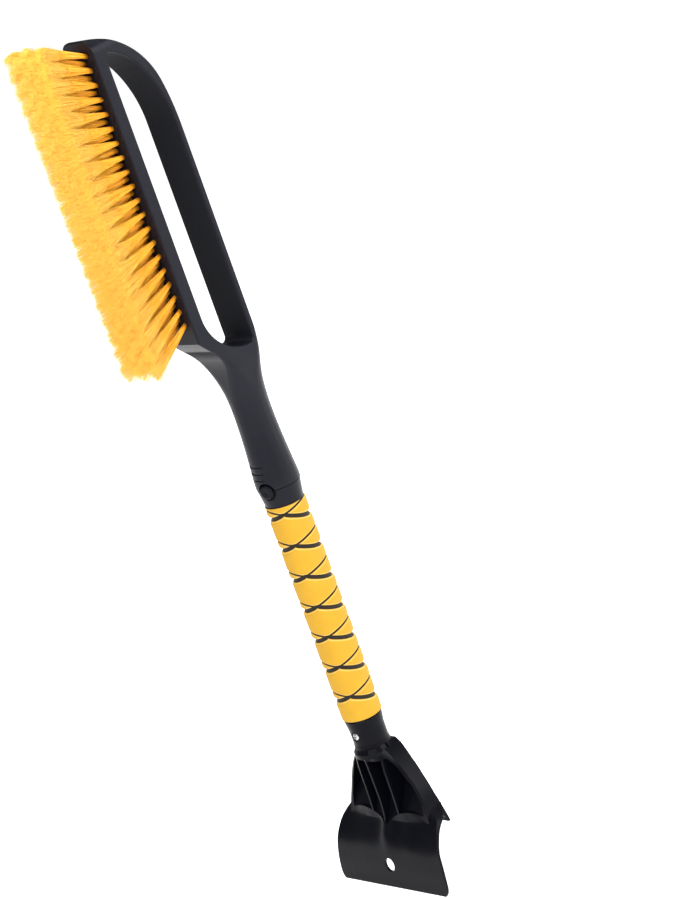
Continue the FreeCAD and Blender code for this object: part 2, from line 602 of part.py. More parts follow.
# Pockets between the ribs, open to the front, with an arched lower end
def arch(y):
    """Lower end of the pockets: two arches that meet in a V at the middle."""
    a = abs(y)
    return -181.0 + 11.0 * math.sin(math.pi * min(a / 52.0, 1.0) * 1.0) ** 0.8 if a > 0 else -181.0


def wall(z):
    """Inner face of the fan's side walls."""
    for (za, ha), (zb, hb) in zip([(s_[0], s_[1]) for s_ in SKIN], [(s_[0], s_[1]) for s_ in SKIN[1:]]):
        if zb <= z <= za:
            return ha + (hb - ha) * (z - za) / (zb - za) - 2.6
    return 10.0


def pocket(name, pts_, depth):
    """A prism open to the front. Its back is flat, then slopes forward to the blade at the lower end."""
    face = Part.Face(Part.makePolygon([V(-40, y, z) for y, z in pts_ + [pts_[0]]]))
    prism = doc.addObject("Part::Feature", name + "_prism")
    prism.Shape = face.extrude(V(40 + depth, 0, 0))
    back_ = Part.Face(Part.makePolygon([V(-40, -60, -120), V(depth, -60, -120), V(depth, -60, -152), V(-14.0, -60, -181),
                                        V(-40, -60, -181), V(-40, -60, -120)]))
    limit = doc.addObject("Part::Feature", name + "_limit")
    limit.Shape = back_.extrude(V(0, 120, 0))
    f = doc.addObject("Part::Common", name)
    f.Base, f.Tool = prism, limit
    return f


rib = 0.8
mid = 15.0
pk = []
for sgn, name in ((1, "pocket_mid_left"), (-1, "pocket_mid_right")):
    ya, yb = rib, mid - rib
    low_pts = [(sgn * (ya + (yb - ya) * i / 8), arch(ya + (yb - ya) * i / 8)) for i in range(9)]
    pk.append(pocket(name, low_pts + [(sgn * yb, -126.0), (sgn * ya, -126.6)], 4.5))
for sgn, name in ((1, "pocket_left"), (-1, "pocket_right")):
    ya, yb = mid + rib, 41.0
    low_pts = [(sgn * (ya + (yb - ya) * i / 10), arch(ya + (yb - ya) * i / 10)) for i in range(11)]
    up = [(sgn * wall(z), z) for z in (-168.0, -162.0, -155.0, -148.0, -140.0, -132.0) if wall(z) < yb - 0.2]
    pk.append(pocket(name, low_pts + up + [(sgn * (ya + 2.6), -125.6), (sgn * ya, -125.4)], 5.0))
hang = doc.addObject("Part::Cylinder", "hang_hole_tool")
bind(hang, "Radius", "dims.hang_hole_radius")
hang.Height = 16
hang.Placement = FreeCAD.Placement(V(-30, 0, D["hang_hole_height"]), FreeCAD.Rotation(V(0, 1, 0), 90))
sbore = doc.addObject("Part::Cylinder", "scraper_bore_tool")
bind(sbore, "Radius", "dims.tube_radius")
bind(sbore, "Height", "dims.scraper_top - dims.tube_bottom + 2")
sbore.Placement.Base = V(0, 0, D["tube_bottom"])
recess = doc.addObject("Part::Cylinder", "screw_recess_tool")
bind(recess, "Radius", "dims.screw_recess_radius")
recess.Height = 6
recess.Placement = FreeCAD.Placement(V(-18.0, 0, D["screw_height"]), FreeCAD.Rotation(V(0, 1, 0), 90))
shank_hole = doc.addObject("Part::Cylinder", "screw_hole_tool")
bind(shank_hole, "Radius", "dims.screw_shank_radius")
shank_hole.Height = 10
shank_hole.Placement = FreeCAD.Placement(V(-18.0, 0, D["screw_height"]), FreeCAD.Rotation(V(0, 1, 0), 90))
# grooves down the inner face of the ice breaker
teeth = []
n_teeth = 15
for i in range(n_teeth):
    y = (i - (n_teeth - 1) / 2.0) * D["tooth_pitch"]
    w = D["tooth_pitch"] * 0.3
    face = Part.Face(Part.makePolygon([V(5.0, y - w, -179.0), V(5.0, y + w, -179.0), V(7.2, y, -179.0), V(5.0, y - w, -179.0)]))
    f = doc.addObject("Part::Feature", "tooth_gap_%02d" % i)
    f.Shape = face.extrude(V(1.9, 0, -8.0))
    teeth.append(f)
# small flats pressed into the shoulder above the ribs
flats = []
for i, (ang, wd) in enumerate(((221.0, 7.6), (264.0, 6.4), (139.0, 7.6), (96.0, 6.4))):
    b = doc.addObject("Part::Box", "shoulder_flat_%d" % i)
    b.Length, b.Width, b.Height = 8.0, wd, 4.0
    rot = FreeCAD.Rotation(V(0, 0, 1), ang).multiply(FreeCAD.Rotation(V(0, 1, 0), -24))
    b.Placement = FreeCAD.Placement(rot.multVec(V(0, -wd / 2, -2.0)) + FreeCAD.Rotation(V(0, 0, 1), ang).multVec(V(13.2, 0, 0)) + V(0, 0, -118.0), rot)
    flats.append(b)
tools = doc.addObject("Part::Compound", "scraper_cutters_a")
tools.Links = pk + [hang, sbore, recess, shank_hole] + flats
tools3 = doc.addObject("Part::Compound", "scraper_cutters_c")
tools3.Links = teeth
doc.recompute()
cut1 = doc.addObject("Part::Cut", "scraper_cut_a")
cut1.Base, cut1.Tool = whole, tools
doc.recompute()
scraper = doc.addObject("Part::Cut", "scraper_cut_c")
scraper.Base, scraper.Tool = cut1, tools3
doc.recompute()
piece(scraper, "scraper_head")

# ---------------------------------------------------------------- scraper screw (cross recess, axis along X)
screw = doc.addObject("PartDesign::Body", "screw_body")
sk = sketch_on(screw, "XZ_Plane", "screw_section")
doc.recompute()
zs = D["screw_height"]
hr, sr = D["screw_head_radius"], D["screw_shank_radius"]
seat = -12.0
pts = [(seat - 2.0, zs), (seat - 1.85, zs + hr * 0.5), (seat - 1.35, zs + hr * 0.86), (seat - 0.7, zs + hr), (seat, zs + hr),
       (seat, zs + sr), (-6.4, zs + sr), (-5.4, zs)]
polyline(sk, [to_sketch(sk, x, z) for x, z in pts])
sk.addGeometry(Part.LineSegment(to_sketch(sk, -20, zs), to_sketch(sk, 0, zs)), True)
rev = screw.newObject("PartDesign::Revolution", "screw_turned")
rev.Profile = sk
rev.ReferenceAxis = (sk, ["Axis0"])
rev.Angle = 360
doc.recompute()
base = rev.Shape.Volume
cross = []
for i, (w, h) in enumerate(((3.6, 0.85), (0.85, 3.6))):
    b = doc.addObject("Part::Box", "driver_slot_%d" % i)
    b.Length, b.Width, b.Height = 2.0, w, h
    b.Placement.Base = V(seat - 2.9, -w / 2, zs - h / 2)
    cross.append(b)
slots = doc.addObject("Part::Compound", "driver_slots")
slots.Links = cross
doc.recompute()
scut = doc.addObject("Part::Cut", "screw_cut")
scut.Base, scut.Tool = screw, slots
doc.recompute()
piece(scut, "scraper_screw")

# ---------------------------------------------------------------- check, then write
doc.recompute()
bad = [o.Name for o in doc.Objects if ("Invalid" in o.State or "Error" in o.State)]
if bad:
    raise RuntimeError("failed objects: " + ", ".join(bad))
names = set()
for obj in PIECES:
    shape = obj.Shape
    if shape.isNull() or not shape.isValid():
        raise RuntimeError("%s has no valid shape" % obj.Label)
    if obj.Label in names:
        raise RuntimeError("two pieces named " + obj.Label)
    names.add(obj.Label)
    shape.exportStep("parts/%s.step" % obj.Label)
    b = shape.BoundBox
    print("%-20s solids %3d vol %9.1f  X %.1f..%.1f Y %.1f..%.1f Z %.1f..%.1f" % (
        obj.Label, len(shape.Solids), shape.Volume, b.XMin, b.XMax, b.YMin, b.YMax, b.ZMin, b.ZMax))
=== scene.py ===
import math

import bpy
import numpy as np
from mathutils import Matrix, Vector


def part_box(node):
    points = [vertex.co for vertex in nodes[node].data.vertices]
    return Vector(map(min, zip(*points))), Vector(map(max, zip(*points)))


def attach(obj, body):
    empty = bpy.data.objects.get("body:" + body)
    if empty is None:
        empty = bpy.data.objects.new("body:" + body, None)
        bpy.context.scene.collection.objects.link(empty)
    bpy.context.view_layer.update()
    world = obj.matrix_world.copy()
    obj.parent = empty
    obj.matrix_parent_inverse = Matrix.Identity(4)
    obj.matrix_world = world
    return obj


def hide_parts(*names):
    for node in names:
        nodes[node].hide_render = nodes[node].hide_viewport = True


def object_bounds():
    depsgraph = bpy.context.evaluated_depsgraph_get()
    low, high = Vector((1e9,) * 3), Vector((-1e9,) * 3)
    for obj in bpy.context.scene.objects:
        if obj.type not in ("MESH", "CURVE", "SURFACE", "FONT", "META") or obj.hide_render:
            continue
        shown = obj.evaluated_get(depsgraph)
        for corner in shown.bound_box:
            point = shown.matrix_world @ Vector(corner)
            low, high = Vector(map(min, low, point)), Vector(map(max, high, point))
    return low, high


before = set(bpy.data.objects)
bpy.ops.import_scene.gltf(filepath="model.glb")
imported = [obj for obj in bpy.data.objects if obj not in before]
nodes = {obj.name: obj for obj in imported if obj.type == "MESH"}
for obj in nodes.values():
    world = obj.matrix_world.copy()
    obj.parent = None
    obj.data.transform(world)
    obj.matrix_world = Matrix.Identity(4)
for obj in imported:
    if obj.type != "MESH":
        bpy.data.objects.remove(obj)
cad_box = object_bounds()
MM = 0.001


# ---------------------------------------------------------------- helpers for materials
def material(name):
    m = bpy.data.materials.new(name)
    m.use_nodes = True
    nt = m.node_tree
    shader = nt.nodes["Principled BSDF"]
    coord = nt.nodes.new("ShaderNodeTexCoord").outputs["Object"]
    return m, nt, shader, coord


def scaled(nt, vec, scale):
    n = nt.nodes.new("ShaderNodeMapping")
    n.inputs["Scale"].default_value = scale
    nt.links.new(vec, n.inputs["Vector"])
    return n.outputs[0]


def noise(nt, vec, scale, detail=2.0, rough=0.5, distort=0.0):
    n = nt.nodes.new("ShaderNodeTexNoise")
    n.inputs["Scale"].default_value = scale
    n.inputs["Detail"].default_value = detail
    n.inputs["Roughness"].default_value = rough
    n.inputs["Distortion"].default_value = distort
    nt.links.new(vec, n.inputs["Vector"])
    return n.outputs[0]


def voronoi(nt, vec, scale, feature="F1"):
    n = nt.nodes.new("ShaderNodeTexVoronoi")
    n.feature = feature
    n.inputs["Scale"].default_value = scale
    nt.links.new(vec, n.inputs["Vector"])
    return n.outputs["Distance"]


def span(nt, value, a, b, c, d, smooth=False):
    n = nt.nodes.new("ShaderNodeMapRange")
    if smooth:
        n.interpolation_type = "SMOOTHSTEP"
    for name, v in zip(("From Min", "From Max", "To Min", "To Max"), (a, b, c, d)):
        n.inputs[name].default_value = v
    nt.links.new(value, n.inputs["Value"])
    return n.outputs[0]


def arith(nt, op, a, b):
    n = nt.nodes.new("ShaderNodeMath")
    n.operation = op
    for i, v in enumerate((a, b)):
        if isinstance(v, (int, float)):
            n.inputs[i].default_value = v
        else:
            nt.links.new(v, n.inputs[i])
    return n.outputs[0]


def mix(nt, fac, a, b, how="MIX"):
    n = nt.nodes.new("ShaderNodeMix")
    n.data_type = "RGBA"
    n.blend_type = how
    if isinstance(fac, (int, float)):
        n.inputs["Factor"].default_value = fac
    else:
        nt.links.new(fac, n.inputs["Factor"])
    for i, v in ((6, a), (7, b)):
        if isinstance(v, tuple):
            n.inputs[i].default_value = (*v[:3], 1.0)
        else:
            nt.links.new(v, n.inputs[i])
    return n.outputs[2]


def attribute(nt, name):
    n = nt.nodes.new("ShaderNodeAttribute")
    n.attribute_name = name
    return n.outputs["Fac"]


def bump(nt, shader, height, strength, distance, under=None):
    n = nt.nodes.new("ShaderNodeBump")
    n.inputs["Strength"].default_value = strength
    n.inputs["Distance"].default_value = distance
    nt.links.new(height, n.inputs["Height"])
    if under is not None:
        nt.links.new(under, n.inputs["Normal"])
    nt.links.new(n.outputs[0], shader.inputs["Normal"])
    return n.outputs[0]


def join(nt, value, shader, socket):
    nt.links.new(value, shader.inputs[socket])


# ---------------------------------------------------------------- materials
def axis_parts(nt, vec):
    n = nt.nodes.new("ShaderNodeSeparateXYZ")
    nt.links.new(vec, n.inputs[0])
    return n.outputs


def distance(nt, a, b):
    return arith(nt, "SQRT", arith(nt, "ADD", arith(nt, "MULTIPLY", a, a), arith(nt, "MULTIPLY", b, b)), 0.0)


def head_collar_gap_shade(nt, vec):
    """1 in a thin band where the brush head meets the collar, painted nearly black as the shade of the gap."""
    x, y, z = axis_parts(nt, vec)
    return span(nt, arith(nt, "ABSOLUTE", arith(nt, "SUBTRACT", z, 0.10515), 0.0), 0.00025, 0.00060, 1.0, 0.0, True)


def button_gap_shade(nt, vec):
    """1 in the ring round the release button, on its own side of the handle, painted nearly black as the shade of the
    gap.
    """
    x, y, z = axis_parts(nt, vec)
    s = arith(nt, "SUBTRACT", arith(nt, "MULTIPLY", x, 0.2588), arith(nt, "MULTIPLY", y, 0.9659))
    r = distance(nt, s, arith(nt, "SUBTRACT", z, 0.1046))
    ring = arith(nt, "MULTIPLY", span(nt, r, 0.0055, 0.0058, 0.0, 1.0, True), span(nt, r, 0.0071, 0.0076, 1.0, 0.0, True))
    return arith(nt, "MULTIPLY", ring, span(nt, x, -0.004, -0.006, 0.0, 1.0))


def loop_inside(nt, vec):
    """1 on the walls of the hand opening: a rougher finish, and painted shade that darkens their colour."""
    x, y, z = axis_parts(nt, vec)
    wall = span(nt, arith(nt, "ABSOLUTE", y, 0.0), 0.0150, 0.0168, 1.0, 0.0, True)
    box = arith(nt, "MULTIPLY", span(nt, x, -0.0290, -0.0275, 0.0, 1.0), span(nt, x, 0.0128, 0.0136, 1.0, 0.0))
    height = span(nt, z, 0.214, 0.222, 0.0, 1.0)
    arc = distance(nt, arith(nt, "ADD", x, 0.0466), arith(nt, "SUBTRACT", z, 0.4071))
    above = span(nt, z, 0.405, 0.409, 0.0, 1.0)
    out = arith(nt, "MULTIPLY", above, span(nt, arc, 0.0575, 0.0590, 0.0, 1.0))
    return arith(nt, "MULTIPLY", arith(nt, "MULTIPLY", wall, box), arith(nt, "MULTIPLY", height, arith(nt, "SUBTRACT", 1.0, out)))


def moulded(name, colour, rough, grain=0.25, scale=2400.0, swirl=30.0, gloss=0.18, gap_shade_masks=(), matt_and_shade=None):
    """Satin moulded plastic: slow flow marks, fine spark-eroded grain, faint rubbed patches.
    The gap masks paint the colour nearly black as painted shade in the gaps between parts; the other mask gives a
    rougher, duller finish and darkens the colour as painted shade."""
    m, nt, b, vec = material(name)
    b.inputs["Specular IOR Level"].default_value = gloss
    flow = noise(nt, scaled(nt, vec, (1.0, 1.0, 0.35)), swirl, 3.0, 0.55, 0.4)
    grit = noise(nt, vec, scale, 2.0, 0.6)
    rub = noise(nt, vec, 190.0, 4.0, 0.65)
    low = tuple(c * 0.86 for c in colour)
    high = tuple(c * 1.16 for c in colour)
    tone = mix(nt, span(nt, flow, 0.3, 0.7, 0.0, 1.0), low, high)
    wear_and_painted_shade = mix(nt, span(nt, rub, 0.62, 0.8, 0.0, 0.22), tone, tuple(min(1.0, c * 2.1 + 0.004) for c in colour))
    r = arith(nt, "ADD", span(nt, flow, 0.3, 0.7, rough - 0.035, rough + 0.035), span(nt, grit, 0.3, 0.7, -0.03, 0.03))
    r = arith(nt, "ADD", r, span(nt, rub, 0.55, 0.8, 0.0, 0.06))
    # Painted shade: inside the hand opening the colour is darkened towards near black, along with the rougher finish.
    if matt_and_shade is not None:
        f = matt_and_shade(nt, vec)
        wear_and_painted_shade = mix(nt, arith(nt, "MULTIPLY", f, 0.7), wear_and_painted_shade, (0.0020, 0.0022, 0.0040))
        r = arith(nt, "ADD", r, arith(nt, "MULTIPLY", f, 0.42))
    # Painted shade: each gap mask paints the colour nearly black where the gap between parts lies in shade.
    for mask in gap_shade_masks:
        f = mask(nt, vec)
        wear_and_painted_shade = mix(nt, f, wear_and_painted_shade, (0.0004, 0.0004, 0.0005))
        r = arith(nt, "ADD", r, arith(nt, "MULTIPLY", f, 0.5))
    join(nt, wear_and_painted_shade, b, "Base Color")
    join(nt, r, b, "Roughness")
    bump(nt, b, grit, grain, 0.00003)
    return m


head_black = moulded("satin_black_head", (0.0056, 0.0061, 0.0098), 0.33, gloss=0.125, gap_shade_masks=(head_collar_gap_shade,), matt_and_shade=loop_inside)
scraper_black = moulded("satin_black_scraper", (0.0019, 0.0021, 0.0037), 0.31, 0.2, gloss=0.07)
collar_black = moulded("satin_black_collar", (0.0048, 0.0053, 0.0084), 0.33, 0.3, gloss=0.11, gap_shade_masks=(head_collar_gap_shade, button_gap_shade))
button_black = moulded("satin_black_button", (0.0034, 0.0037, 0.0058), 0.30, 0.2, 3000.0, gloss=0.09)


def metal(name, colour, rough, along=(1.0, 1.0, 0.03), scale=5200.0, strength=0.12):
    """Drawn or plated metal with fine draw lines."""
    m, nt, b, vec = material(name)
    b.inputs["Metallic"].default_value = 1.0
    lines = noise(nt, scaled(nt, vec, along), scale, 2.0, 0.5)
    cloud = noise(nt, vec, 160.0, 3.0)
    join(nt, mix(nt, span(nt, cloud, 0.35, 0.65, 0.0, 1.0), tuple(c * 0.9 for c in colour), colour), b, "Base Color")
    join(nt, arith(nt, "ADD", span(nt, lines, 0.3, 0.7, rough - 0.05, rough + 0.06), span(nt, cloud, 0.4, 0.7, 0.0, 0.04)), b, "Roughness")
    bump(nt, b, lines, strength, 0.00001)
    return m


tube_metal = metal("drawn_aluminium", (0.66, 0.67, 0.69), 0.33)
spring_metal = metal("spring_steel", (0.58, 0.58, 0.60), 0.24, (1, 1, 1), 3000.0)
anchor_metal = metal("stapled_wire", (0.50, 0.50, 0.52), 0.36, (1, 1, 1), 3600.0)
chrome = metal("plated_screw", (0.50, 0.50, 0.52), 0.30, (1, 1, 1), 2600.0, 0.06)


def foam_material():
    """Closed-cell foam: low-sheen skin with fine cells, near-black groove floors, a painted highlight along the groove
    edges and painted shade at the sleeve's ends.
    """
    m, nt, b, vec = material("yellow_closed_cell_foam")
    b.inputs["Specular IOR Level"].default_value = 0.25
    cells = voronoi(nt, vec, 1500.0)
    fine = noise(nt, vec, 2600.0, 2.0, 0.6)
    cloud = noise(nt, vec, 70.0, 4.0, 0.6)
    base = mix(nt, span(nt, cloud, 0.3, 0.7, 0.0, 1.0), (0.425, 0.228, 0.0105), (0.460, 0.255, 0.0135))
    base = mix(nt, span(nt, cells, 0.0, 0.75, 0.10, 0.0), base, (0.38, 0.18, 0.008))
    # Painted highlight: paler colour along the rounded groove edges.
    lip_highlight = attribute(nt, "lip_highlight")
    base = mix(nt, arith(nt, "MULTIPLY", lip_highlight, 0.75), base, (0.72, 0.50, 0.15))
    # Near-black groove floors, and painted shade at the sleeve's ends.
    groove_and_end_darkening = span(nt, attribute(nt, "dark_groove_and_end_shade"), 0.45, 0.62, 0.0, 1.0, True)
    base = mix(nt, groove_and_end_darkening, base, (0.010, 0.0075, 0.004))
    join(nt, base, b, "Base Color")
    join(nt, arith(nt, "ADD", span(nt, fine, 0.3, 0.7, 0.58, 0.70), span(nt, cloud, 0.4, 0.7, 0.0, 0.06)), b, "Roughness")
    h = arith(nt, "ADD", arith(nt, "MULTIPLY", cells, 0.7), arith(nt, "MULTIPLY", fine, 0.5))
    bump(nt, b, h, 0.28, 0.00007)
    return m


def bristle_material():
    """Polypropylene filaments: warmer and darker at the root, partly their own tone and partly painted shade deep in
    the tufts; paler at the frayed ends.
    """
    m, nt, b, vec = material("yellow_bristle")
    along = attribute(nt, "along")
    tone = attribute(nt, "tone")
    streak = noise(nt, vec, 900.0, 2.0, 0.6)
    # Root colour: partly the filaments' own deeper tone, partly painted shade deep inside the tufts.
    low = mix(nt, span(nt, along, 0.0, 0.46, 0.0, 1.0, True), (0.97, 0.395, 0.012), (1.0, 0.515, 0.026))
    base = mix(nt, span(nt, along, 0.40, 0.80, 0.0, 1.0, True), low, (1.0, 0.640, 0.098))
    base = mix(nt, span(nt, along, 0.90, 1.0, 0.0, 0.5), base, (1.0, 0.550, 0.036))
    base = mix(nt, span(nt, tone, 0.25, 1.0, 0.0, 0.55), base, (0.86, 0.325, 0.010))
    base = mix(nt, span(nt, streak, 0.4, 0.7, 0.0, 0.18), base, (1.0, 0.70, 0.11))
    join(nt, base, b, "Base Color")
    join(nt, span(nt, streak, 0.3, 0.7, 0.36, 0.52), b, "Roughness")
    bump(nt, b, streak, 0.15, 0.00004)
    return m


foam_yellow = foam_material()
bristle_yellow = bristle_material()


def paint(name, mat):
    for s in nodes[name].material_slots:
        s.material = mat


paint("brush_head_frame", head_black)
paint("scraper_head", scraper_black)
paint("latch_collar", collar_black)
paint("release_button", button_black)
paint("handle_tube", tube_metal)
paint("button_spring", spring_metal)
paint("tuft_anchors", anchor_metal)
paint("scraper_screw", chrome)


# ---------------------------------------------------------------- mesh from arrays
def build(name, verts, faces, attrs=None, smooth=True):
    """One object from a vertex array in metres and a list of index arrays, quads or triangles."""
    me = bpy.data.meshes.new(name)
    verts = np.asarray(verts, dtype=np.float32)
    me.vertices.add(len(verts))
    me.vertices.foreach_set("co", verts.ravel())
    loops = np.concatenate([f.ravel() for f in faces]).astype(np.int32)
    sizes = np.concatenate([np.full(len(f), f.shape[1], dtype=np.int32) for f in faces])
    me.loops.add(len(loops))
    me.loops.foreach_set("vertex_index", loops)
    me.polygons.add(len(sizes))
    me.polygons.foreach_set("loop_start", np.concatenate([[0], np.cumsum(sizes)[:-1]]).astype(np.int32))
    me.polygons.foreach_set("loop_total", sizes)
    me.polygons.foreach_set("use_smooth", np.full(len(sizes), smooth, dtype=bool))
    for key, values in (attrs or {}).items():
        me.attributes.new(key, "FLOAT", "POINT").data.foreach_set("value", np.asarray(values, dtype=np.float32))
    me.update(calc_edges=True)
    me.validate()
    o = bpy.data.objects.new(name, me)
    bpy.context.scene.collection.objects.link(o)
    return o


# ---------------------------------------------------------------- foam grip, with its wrapped grooves
def foam_sleeve():
    lo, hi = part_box("foam_grip")
    z0, z1 = lo[2] / MM, hi[2] / MM
    outer = (hi[0] - lo[0]) / 2 / MM
    bore = 11.06
    nz, na = 436, 212
    z = np.linspace(z0, z1, nz)[:, None] * np.ones((1, na))
    a = (np.arange(na) / na * 2 * math.pi)[None, :] * np.ones((nz, 1))
    c = np.cos(a - math.radians(143.0))
    s = np.sin(a - math.radians(143.0))
    red = np.zeros_like(z)
    dark_groove_and_end_shade = np.zeros_like(z)
    lip_highlight = np.zeros_like(z)
    for n in range(7):
        up = 25.6 * (2 - n)
        p = 31.1 + up + 6.1 * c
        q = 34.5 + up - 5.2 * c
        for line, other, tilt in ((p, q, 6.1), (q, p, 5.2)):
            w = np.clip((other - line) / 2.4 + 0.5, 0, 1)
            w = w * w * (3 - 2 * w)
            d = np.abs(z - line) / np.sqrt(1 + (tilt * s / outer) ** 2)
            half = 0.60 + 0.84 * w
            depth = 1.1 + 1.0 * w
            edge = 0.36 + 0.70 * w
            soft = 1.3 + 1.3 * w
            wall = np.clip((half + 0.35 - d) / 0.35, 0, 1)
            roll = np.clip((half + 0.35 + soft - d) / soft, 0, 1)
            red = np.maximum(red, np.where(wall > 0, edge + (depth - edge) * wall, edge * roll ** 2))
            dark_groove_and_end_shade = np.maximum(dark_groove_and_end_shade, wall)
            # Painted highlight: a pale band just outside each groove's floor, on its rounded edge.
            lip_highlight = np.maximum(lip_highlight, np.clip(1 - np.abs(d - half - 0.75) / 0.55, 0, 1) * (0.6 + 0.4 * w))
    end = np.minimum(z - z0, z1 - z)
    red = red + np.where(end < 1.6, 1.6 - np.sqrt(np.maximum(0, 1.6 ** 2 - (1.6 - end) ** 2)), 0)
    # Painted shade: the last 0.55 mm at each end of the sleeve is painted near black.
    dark_groove_and_end_shade = np.where(end < 0.55, 1.0, dark_groove_and_end_shade)
    wob = 0.05 * np.sin(z * 0.31 + 1.3) + 0.05 * np.sin(z * 0.17 + 3 * a)
    r = outer - 0.10 - red + wob * (red < 0.05)
    ring = [np.stack([r * np.cos(a), r * np.sin(a), z], -1)]
    ba = a[0]
    for rr, zz in ((12.6, z1), (bore, z1), (bore, (z0 + z1) / 2), (bore, z0), (12.6, z0)):
        ring.append(np.stack([rr * np.cos(ba), rr * np.sin(ba), np.full(na, zz)], -1)[None])
    grid = np.concatenate(ring, 0)
    rows = grid.shape[0]
    idx = np.arange(rows * na).reshape(rows, na)
    nxt = np.roll(idx, -1, 1)
    up_i, up_n = np.roll(idx, -1, 0), np.roll(nxt, -1, 0)
    quads = np.stack([idx, nxt, up_n, up_i], -1).reshape(-1, 4)
    pad = np.zeros((rows - nz, na))
    o = build("foam_grip_sleeve", grid.reshape(-1, 3) * MM, [quads],
              {"dark_groove_and_end_shade": np.concatenate([dark_groove_and_end_shade, pad]).ravel(), "lip_highlight": np.concatenate([lip_highlight * (1 - dark_groove_and_end_shade), pad]).ravel()})
    o.data.materials.append(foam_yellow)
    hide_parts("foam_grip")
    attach(o, "handle")
    return o


foam_sleeve()


# ---------------------------------------------------------------- bristles
FACE_X, STAND = -36.7, 48.0
FIRST, PITCH, ROW_PITCH = 455.3, 10.85, 4.65
CENTRE, SPAN = FIRST - 9.5 * PITCH, 9.5 * PITCH
ROWS = ((-2, 0.0), (-1, 0.5), (0, 0.0), (1, 0.5), (2, 0.0))
STEM = np.array([0.0, 0.14, 0.30, 0.50])
FLAG = np.array([0.38, 0.60, 0.82, 1.0])
SPLIT = 3


def tuft_lines(rng, root, d, count, k, at_end):
    """Stem and flag centre lines, (n, rings, 3) in mm, their radii and their shade, for one tuft."""
    side = np.cross(d, (0.0, 0.0, 1.0))
    side /= np.linalg.norm(side)
    if side[1] < 0:
        side = -side
    upv = np.cross(side, d)
    if upv[2] < 0:
        upv = -upv
    rad = np.sqrt(rng.random(count))
    ang = rng.random(count) * 2 * math.pi
    u, v = rad * np.cos(ang), rad * np.sin(ang)          # u across the rows, v along the head
    shade = rng.random(count)
    length = STAND / abs(d[0])
    wide = np.where(u * k > 0, 3.2, 5.2) if abs(k) == 2 else np.full(count, 5.2)
    tall = np.full(count, 7.0)
    if at_end:
        tall = np.where(v * (1 if root[2] > CENTRE else -1) > 0, 4.2 if root[2] > CENTRE else (8.5 if k in (0, 1, 2) else 6.5), 7.0)
    stray = 1 + (0.0 if at_end else 4.0) * (rng.random(count) < 0.02)
    bend_u, bend_v = rng.normal(0, 0.30, count) * stray, rng.normal(0, 0.40, count) * stray

    def spread(uu, vv, ww, tt, bu, bv, t):
        w = t ** 1.45
        return (1.6 * uu * (1 - w) + ww * uu * w + bu * np.sin(math.pi * np.minimum(t, 1.0)),
                1.6 * vv * (1 - w) + tt * vv * w + bv * np.sin(math.pi * np.minimum(t, 1.0)))

    t = STEM[None, :]
    ou, ov = spread(u[:, None], v[:, None], wide[:, None], tall[:, None], bend_u[:, None], bend_v[:, None], t)
    reach = length * t - 1.2 * (1 - t)
    stem = root + (np.broadcast_to(reach, ou.shape))[..., None] * d + ou[..., None] * side + ov[..., None] * upv
    stem_r = (0.165 + 0.03 * rng.random(count))[:, None] * (1 - 0.25 * t)

    many = lambda x: np.repeat(x, SPLIT)
    n = count * SPLIT
    t = FLAG[None, :]
    ou, ov = spread(many(u)[:, None], many(v)[:, None], many(wide)[:, None], many(tall)[:, None], many(bend_u)[:, None], many(bend_v)[:, None], t)
    open_up = np.clip((t - 0.38) / 0.62, 0, 1) ** 1.3
    ou = ou + rng.normal(0, 0.80, n)[:, None] * open_up + rng.normal(0, 0.45, n)[:, None] * open_up ** 4
    ov = ov + rng.normal(0, 1.55, n)[:, None] * open_up + rng.normal(0, 0.60, n)[:, None] * open_up ** 4
    drop = 0.9 * many(rad) ** 2 + np.abs(rng.normal(0, 1.25, n)) + 3.0 * (rng.random(n) < 0.08)
    reach = (length - drop)[:, None] * t
    flag = root + reach[..., None] * d + ou[..., None] * side + ov[..., None] * upv
    crown = np.clip((flag[..., 2] - 466.0) / 11.0, 0, 1)
    flag[..., 0] = np.maximum(flag[..., 0], -84.2 + 7.0 * crown ** 3)
    flag[..., 1] = np.clip(flag[..., 1], -22.3, 22.3)
    top = 477.2 - 5.0 * np.clip(np.abs(flag[..., 1]) / 22.0, 0, 1) ** 4
    flag[..., 2] = np.clip(flag[..., 2], 217.5, top - 0.8 * rng.random(n)[:, None] * open_up)
    flag_r = (0.075 + 0.03 * rng.random(n))[:, None] * (1 - 0.35 * open_up)
    return ((stem, stem_r, STEM, shade), (flag, flag_r, FLAG, np.clip(many(shade) + rng.normal(0, 0.15, n), 0, 1)))


